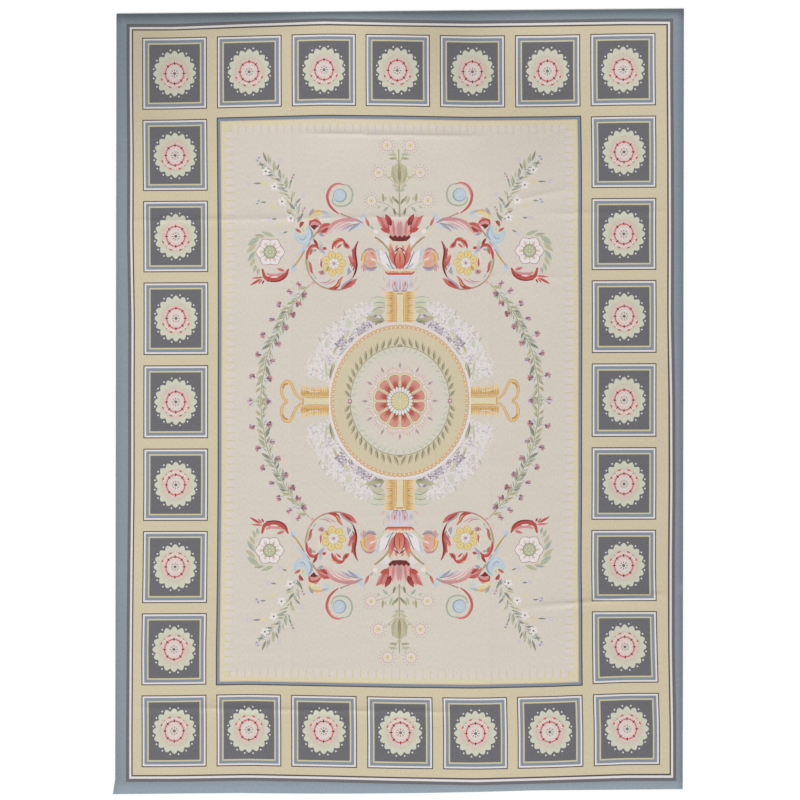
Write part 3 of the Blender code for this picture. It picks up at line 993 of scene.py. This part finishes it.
def large_scroll(drawing):
    """The big red acanthus scroll, in one quarter."""
    rim = (232 + 480j, 266 + 474j, 304 + 478j, 344 + 492j, 376 + 520j, 396 + 556j, 405 + 598j, 402 + 640j)
    drawing.strip("mauve", (4, 8, 8, 7, 7, 7, 9, 6), *rim, to="olive_pale")
    drawing.strip("tan_brown", (2, 4, 4, 3, 3, 3, 4, 2), *rim)
    drawing.strip("heather", (3, 9, 12, 10, 4), 196 + 540j, 208 + 520j, 226 + 506j, 244 + 494j, 256 + 480j)
    drawing.leaf(226 + 536j, 214 + 592j, 20, "heather", "denim", 0.10)
    drawing.leaf(202 + 548j, 222 + 586j, 7, "milk")
    drawing.strip("oxblood", (3, 10, 13, 12, 10, 8, 4), 179 + 684j, 190 + 660j, 194 + 632j, 189 + 602j,
                  187 + 574j, 193 + 548j, 202 + 528j)
    drawing.strip("brick", (3, 8, 11, 12, 9, 4), 184 + 674j, 197 + 650j, 200 + 626j, 196 + 600j, 195 + 576j,
                  202 + 556j)
    drawing.leaf(192 + 566j, 224 + 622j, 24, "brick", "rose", 0.08)
    drawing.leaf(198 + 590j, 218 + 630j, 9, "rose", "pink")
    drawing.leaf(200 + 626j, 206 + 654j, 8, "brick")
    drawing.leaf(182 + 524j, 256 + 476j, 25, "rose", "brick", -0.04)
    drawing.leaf(204 + 514j, 250 + 482j, 7, "oxblood", "brick", -0.04)
    drawing.leaf(190 + 522j, 214 + 512j, 5, "pink")
    drawing.strip("brick", (5, 14, 17, 16, 6), 247 + 530j, 260 + 512j, 268 + 494j, 284 + 482j, 306 + 480j)
    drawing.strip("rose", (3, 8, 8, 3), 245 + 532j, 255 + 516j, 264 + 498j, 274 + 488j, to="amber")
    drawing.strip("oxblood", (2, 4, 3), 256 + 506j, 264 + 488j, 282 + 478j)
    drawing.strip("pink", (3, 7, 8, 4), 276 + 518j, 294 + 508j, 314 + 500j, 340 + 500j, to="lilac")
    drawing.strip("mauve", (2, 5, 2), 296 + 520j, 316 + 508j, 346 + 506j)
    drawing.leaf(322 + 546j, 354 + 552j, 22, "mauve", "pink")
    drawing.leaf(330 + 558j, 344 + 542j, 6, "plum")
    drawing.leaf(338 + 568j, 344 + 616j, 12, "rose", "brick")
    drawing.leaf(347 + 572j, 342 + 640j, 5, "milk")
    drawing.strip("brick", (4, 10, 12, 10, 4), 374 + 544j, 382 + 556j, 384 + 572j, 388 + 588j, 398 + 600j,
                  to="rose")
    drawing.leaf(390 + 552j, 402 + 624j, 8, "moss", "olive_pale")
    drawing.leaf(360 + 520j, 378 + 548j, 8, "denim", "mist")
    drawing.leaf(364 + 512j, 390 + 494j, 13, "pink", "shell")
    drawing.leaf(378 + 536j, 416 + 540j, 9, "blush", "shell")
    drawing.leaf(213 + 652j, 244 + 686j, 21, "rose", "brick", -0.10)
    drawing.leaf(222 + 656j, 238 + 676j, 6, "oxblood")
    drawing.strip("brick", (4, 12, 15, 14, 11, 4), 234 + 678j, 248 + 690j, 266 + 690j, 280 + 678j, 288 + 664j,
                  291 + 650j)
    drawing.strip("rose", (2, 5, 6, 5), 246 + 684j, 262 + 682j, 274 + 670j, 279 + 658j)
    drawing.leaf(250 + 672j, 274 + 652j, 10, "brick", "rose")
    drawing.strip("amber", (2, 5, 4, 2), 262 + 694j, 286 + 686j, 306 + 678j, 324 + 668j, to="pale_leaf")
    drawing.lay([314 + 650j, 320 + 660j, 334 + 658j, 331 + 648j, 322 + 646j], "brick")
    drawing.leaf(344 + 694j, 338 + 650j, 15, "mist", "grey_leaf")
    drawing.leaf(354 + 662j, 318 + 624j, 16, "heather", "lilac")
    drawing.leaf(344 + 652j, 324 + 630j, 5, "denim")
    drawing.strip("brick", (4, 13, 16, 14, 12, 4), 348 + 650j, 362 + 664j, 380 + 662j, 392 + 646j, 399 + 628j,
                  400 + 604j)
    drawing.strip("rose", (2, 5, 6, 4), 356 + 656j, 372 + 660j, 386 + 650j, 394 + 634j)
    drawing.leaf(376 + 652j, 390 + 622j, 12, "brick", "rose")
    drawing.leaf(358 + 648j, 382 + 640j, 12, "teal", "grey_leaf")
    drawing.leaf(374 + 696j, 352 + 652j, 13, "oxblood", "brick", -0.06)
    drawing.leaf(384 + 684j, 404 + 656j, 9, "pink", "rose")


def draw():
    drawing = Drawing()
    border(drawing)
    guard(drawing)
    drawing.in_quarters(teeth)
    drawing.in_quarters(blossoms)
    roundel(drawing)
    drawing.in_quarters(laurel)
    heart_flower(drawing)
    drawing.in_quarters(gold_side)
    drawing.in_quarters(sheaf_leaves, gold_head)
    drawing.in_quarters(tassels, side_curl, red_flower, tulip, finial, nudge=-4j)
    drawing.in_quarters(garland, nudge=-7 + 0j)
    drawing.in_quarters(feather, nudge=10 - 12j)
    drawing.in_quarters(white_flower, nudge=3 + 0j)
    drawing.in_quarters(small_scroll, yellow_flower, large_scroll, acanthus, blue_cup, nudge=1 + 0j)
    return drawing


# The woven sheet

METRES = 0.001  # in a millimetre
FOLD_LINE_STEP = 80  # between the points along a fold
SIDE_MARGIN = 12  # the fold lines stop this far inside the rug's sides
END_MARGIN = 14  # and this far inside its ends
MERGE_REACH = 1e-4
UNDERSIDE_SMALLEST = 15000.0  # the underside leaves out shapes with less area than this
BAKE_LENGTH = 2.03 * HALF_LENGTH
BAKE_WIDTH = 2.04 * HALF_WIDTH
FACE_STRIP = (0.0, 0.83)  # where each side of the cloth starts on the bake map, and its share of it
UNDERSIDE_STRIP = (0.84, 0.16)
RIM_SPREAD = 1.004  # keeps the rim's lower edge clear of its upper one on the bake map


def ridge_profile(across):
    if across >= 1.0:
        return 0.0
    if across >= RIDGE_SHOULDER_AT:
        return RIDGE_SHOULDER_SHARE * (1.0 - across) / (1.0 - RIDGE_SHOULDER_AT)
    return 1.0 - (1.0 - RIDGE_SHOULDER_SHARE) * across / RIDGE_SHOULDER_AT


def lift_at(point):
    """How far the cloth stands off the floor, where the highest of the folds wins."""
    lift = 0.0
    for start, end, height in FOLDS.values():
        along = end - start
        run = (point - start) * along.conjugate() / abs(along)
        across = abs(run.imag) / RIDGE_HALF_WIDTH
        inside = min(run.real, abs(along) - run.real) / RIDGE_FADE
        lift = max(lift, height * ridge_profile(across) * min(1.0, max(0.0, inside)))
    return lift


def fold_lines():
    """Pairs of points along every ridge's crest, shoulders and feet."""
    lines = []
    for start, end, _ in FOLDS.values():
        side = 1j * (end - start) / abs(end - start)
        for share in (-1.0, -RIDGE_SHOULDER_AT, 0.0, RIDGE_SHOULDER_AT, 1.0):
            off = side * share * RIDGE_HALF_WIDTH
            lines.append((start + off, end + off))
    return lines


def area_of(outline):
    return 0.5 * sum((a.conjugate() * b).imag for a, b in zip(outline, outline[1:] + outline[:1]))


def inside_rug(point):
    across = abs(point.real - SIDE_OFFSET)
    return across < HALF_WIDTH - SIDE_MARGIN and abs(point.imag) < HALF_LENGTH - END_MARGIN


def cut_cloth(drawing, smallest):
    """Cuts the sheet along its outlines and folds; gives points, triangles and each one's tint."""
    chosen = [i for i, o in enumerate(drawing.outlines) if area_of(o) >= smallest]
    points, rings, edges = [], [], []
    for i in chosen:
        first = len(points)
        points += [Vector((p.real, p.imag)) for p in drawing.outlines[i]]
        rings.append(list(range(first, len(points))))
    for start, end in fold_lines():
        count = max(2, round(abs(end - start) / FOLD_LINE_STEP))
        line = [mixed(start, end, i / count) for i in range(count + 1)]
        line = [p for p in line if inside_rug(p)]
        first = len(points)
        points += [Vector((p.real, p.imag)) for p in line]
        edges += [(first + i, first + i + 1) for i in range(len(line) - 1)]
    cut = delaunay_2d_cdt(points, edges, rings, 1, MERGE_REACH, True)
    covered = [i for i, owners in enumerate(cut[5]) if owners]
    tints = [drawing.tints[chosen[max(cut[5][i])]] for i in covered]
    return cut[0], [cut[2][i] for i in covered], tints


def bake_spot(point, strip):
    """Where a point of the cloth lies on the bake map."""
    start, share = strip
    return (0.5 + point.imag / BAKE_LENGTH, start + share * (0.5 + point.real / BAKE_WIDTH))


def weave(drawing):
    """The rug as one closed sheet: its face, its underside with the larger shapes, and its rim."""
    cloth = bmesh.new()
    yarn = cloth.loops.layers.float_color.new("yarn")
    bake = cloth.loops.layers.uv.new("OFBake")
    for face_up, smallest, strip in ((True, 0.0, FACE_STRIP), (False, UNDERSIDE_SMALLEST, UNDERSIDE_STRIP)):
        points, triangles, tints = cut_cloth(drawing, smallest)
        flat = [complex(*point) for point in points]
        verts = []
        for point in flat:
            height = (THICKNESS if face_up else 0.0) + lift_at(point)
            verts.append(cloth.verts.new((METRES * point.real, METRES * point.imag, METRES * height)))
        for triangle, tint in zip(triangles, tints):
            order = triangle if face_up else triangle[::-1]
            face = cloth.faces.new([verts[i] for i in order])
            face.smooth = True
            for loop, i in zip(face.loops, order):
                loop[yarn] = (*colour_at(tint, flat[i]), 1.0)
                loop[bake].uv = bake_spot(flat[i], strip)
    rim = [edge for edge in cloth.edges if edge.is_boundary]
    for face in bmesh.ops.bridge_loops(cloth, edges=rim)["faces"]:
        for loop in face.loops:
            point = complex(loop.vert.co.x, loop.vert.co.y) / METRES
            point *= RIM_SPREAD if loop.vert.co.z < 0.5 * METRES * THICKNESS else 1.0
            loop[yarn] = (*DYED["slate_blue"], 1.0)
            loop[bake].uv = bake_spot(point, FACE_STRIP)
    bmesh.ops.recalc_face_normals(cloth, faces=cloth.faces)
    mesh = bpy.data.meshes.new("woven_rug")
    cloth.to_mesh(mesh)
    cloth.free()
    rug = bpy.data.objects.new("woven_rug", mesh)
    bpy.context.scene.collection.objects.link(rug)
    return rug


# Shader expressions

DYE_STRENGTH = 0.97

# Unevenness of the yarn: how many patches to the metre in x, y and z.
PICKS = (170.0, 75.0, 1.0)
BARS = (2.0, 26.0, 1.0)
PATCHES = (3.5, 3.5, 1.0)
KNOTS = (300.0, 500.0, 1.0)
RIBS = 55.0
RELIEF = 0.0004


class Value:
    """A number that varies over a surface, so that plain sums can be written with it."""

    def __init__(self, nodes, socket):
        self.nodes = nodes
        self.socket = socket

    def _with(self, operation, first, second):
        return self.nodes.node("Math", {"operation": operation}, {0: first, 1: second})

    def __add__(self, other):
        return self._with("ADD", self, other)

    __radd__ = __add__

    def __sub__(self, other):
        return self._with("SUBTRACT", self, other)

    def __rsub__(self, other):
        return self._with("SUBTRACT", other, self)

    def __mul__(self, other):
        return self._with("MULTIPLY", self, other)

    __rmul__ = __mul__


class Finish:
    """A material under construction."""

    def __init__(self, name):
        self.material = bpy.data.materials.new(name)
        self.material.use_nodes = True
        self.tree = self.material.node_tree
        self.shader = self.tree.nodes["Principled BSDF"]

    def node(self, kind, settings, inputs, output=0):
        made = self.tree.nodes.new("ShaderNode" + kind)
        for name, value in settings.items():
            setattr(made, name, value)
        for name, value in inputs.items():
            self.put(made.inputs[name], value)
        return Value(self, made.outputs[output])

    def put(self, socket, value):
        if isinstance(value, Value):
            self.tree.links.new(value.socket, socket)
        else:
            socket.default_value = value


# Places where the cloth is painted darker or paler than its dye, partly as painted light falloff and shade
# and partly as uneven dye: centre x and y and reach x and y, all in metres, and how much darker.
PAINTED_LIGHT_AND_ABRASH = {
    "top_left_corner": (-1.30, 1.72, 0.95, 1.10, 0.25),
    "top_left_edge": (-0.62, 1.70, 0.45, 0.16, 0.24),
    "top_middle": (0.20, 1.62, 0.42, 0.55, 0.16),
    "upper_right": (0.55, 1.22, 0.50, 0.42, 0.08),
    "right_side": (1.30, -0.10, 1.30, 2.80, 0.075),
    "bottom_edge": (-0.10, -1.74, 1.60, 0.16, -0.06),
    "middle": (0.0, 0.0, 0.75, 0.75, 0.015),
}


def painted_light_and_abrash_over(finish, place):
    """The broad painted light falloff and shade of the whole rug, mixed with uneven dye."""
    tone = 1.0
    for x, y, reach_x, reach_y, darker in PAINTED_LIGHT_AND_ABRASH.values():
        away = finish.node("VectorMath", {"operation": "SUBTRACT"}, {0: place, 1: (x, y, 0.0)})
        away = finish.node("VectorMath", {"operation": "DIVIDE"}, {0: away, 1: (reach_x, reach_y, 1.0)})
        far = finish.node("VectorMath", {"operation": "LENGTH"}, {0: away}, "Value")
        limits = {"From Min": 1.0, "From Max": 0.0, "To Min": 0.0, "To Max": 1.0}
        near = finish.node("MapRange", {"interpolation_type": "SMOOTHSTEP"}, {"Value": far, **limits})
        tone = tone - darker * near
    return tone


def noise_over(finish, place, stretch, detail=2.0):
    """Uneven patches about 0, as many to the metre in each direction as the stretch says."""
    spread = finish.node("VectorMath", {"operation": "MULTIPLY"}, {0: place, 1: stretch})
    return finish.node("TexNoise", {}, {"Vector": spread, "Scale": 1.0, "Detail": detail}) - 0.5


def wool_finish():
    """Wool dyed as the drawing says, with painted light falloff and shade over the whole rug, uneven from
    pick to pick, with the ribs of the warp.
    """
    finish = Finish("tapestry_wool")
    place = finish.node("TexCoord", {}, {}, "Object")
    dyed = finish.node("Attribute", {"attribute_name": "yarn"}, {}, "Color")
    picks = noise_over(finish, place, PICKS)
    bars = noise_over(finish, place, BARS)
    patches = noise_over(finish, place, PATCHES, 3.0)
    grain = 1.0 + 0.20 * picks + 0.05 * bars + 0.06 * patches
    # Painted light falloff and shade over the rug, partly uneven dye, times the yarn's grain.
    tone = painted_light_and_abrash_over(finish, place) * grain * DYE_STRENGTH
    flecks = 0.030 * picks
    colour = finish.node("VectorMath", {"operation": "SCALE"}, {0: dyed, "Scale": tone})
    colour = finish.node("VectorMath", {"operation": "ADD"}, {0: colour, 1: flecks})
    finish.put(finish.shader.inputs["Base Color"], colour)
    spread = finish.node("VectorMath", {"operation": "MULTIPLY"}, {0: place, 1: (1.0, 0.0, 0.0)})
    ribs = finish.node("TexWave", {}, {"Vector": spread, "Scale": RIBS})
    knots = noise_over(finish, place, KNOTS)
    height = ribs + 1.5 * knots
    bump = finish.node("Bump", {}, {"Strength": 0.35, "Distance": RELIEF, "Height": height})
    finish.put(finish.shader.inputs["Normal"], bump)
    finish.put(finish.shader.inputs["Roughness"], 0.92)
    finish.put(finish.shader.inputs["Specular IOR Level"], 0.15)
    return finish.material


def floor_finish():
    finish = Finish("pale_floor")
    finish.put(finish.shader.inputs["Base Color"], (1.0, 1.0, 1.0, 1.0))
    finish.put(finish.shader.inputs["Roughness"], 0.9)
    finish.put(finish.shader.inputs["Specular IOR Level"], 0.1)
    return finish.material


# Studio

# Light on a level surface, where 1.0 in all shows a dye at its own value, and the sun's direction.
SKY_SHARE = 0.58
SUN_SHARE = 0.45
SUN_TILT = 52.0
SUN_TURN = -14.0
SUN_SPREAD = 12.0
PHOTO_WIDTH = 3.44
CAMERA_HEIGHT = 10.0
CAMERA_SIDEWAYS = 0.007
CAMERA_FORWARD = 0.0064
FLOOR_HALF = 12.0
FLOOR_DROP = 0.0005


def studio():
    """A camera straight overhead, an even sky, a low soft sun and a white floor."""
    scene = bpy.context.scene
    scene.view_settings.view_transform = "Standard"
    lens = bpy.data.cameras.new("camera")
    lens.sensor_width = 36.0
    lens.lens = lens.sensor_width * CAMERA_HEIGHT / PHOTO_WIDTH
    camera = bpy.data.objects.new("camera", lens)
    camera.location = (CAMERA_SIDEWAYS, CAMERA_FORWARD, CAMERA_HEIGHT)
    scene.collection.objects.link(camera)
    scene.camera = camera
    world = bpy.data.worlds.new("soft_room")
    world.use_nodes = True
    world.node_tree.nodes["Background"].inputs["Color"].default_value = (1.0, 1.0, 1.0, 1.0)
    world.node_tree.nodes["Background"].inputs["Strength"].default_value = SKY_SHARE
    scene.world = world
    sun = bpy.data.lights.new("window", "SUN")
    sun.energy = math.pi * SUN_SHARE / math.cos(math.radians(SUN_TILT))
    sun.angle = math.radians(SUN_SPREAD)
    lamp = bpy.data.objects.new("window", sun)
    lamp.rotation_euler = (math.radians(SUN_TILT), 0.0, math.radians(SUN_TURN))
    scene.collection.objects.link(lamp)
    sheet = bmesh.new()
    bmesh.ops.create_grid(sheet, x_segments=1, y_segments=1, size=FLOOR_HALF)
    mesh = bpy.data.meshes.new("floor")
    sheet.to_mesh(mesh)
    sheet.free()
    floor = bpy.data.objects.new("floor", mesh)
    mesh.materials.append(floor_finish())
    scene.collection.objects.link(floor)
    for vert in mesh.vertices:
        vert.co.z = -FLOOR_DROP


studio()
rug = weave(draw())
rug.data.materials.append(wool_finish())
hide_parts("rug")
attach(rug, "root")
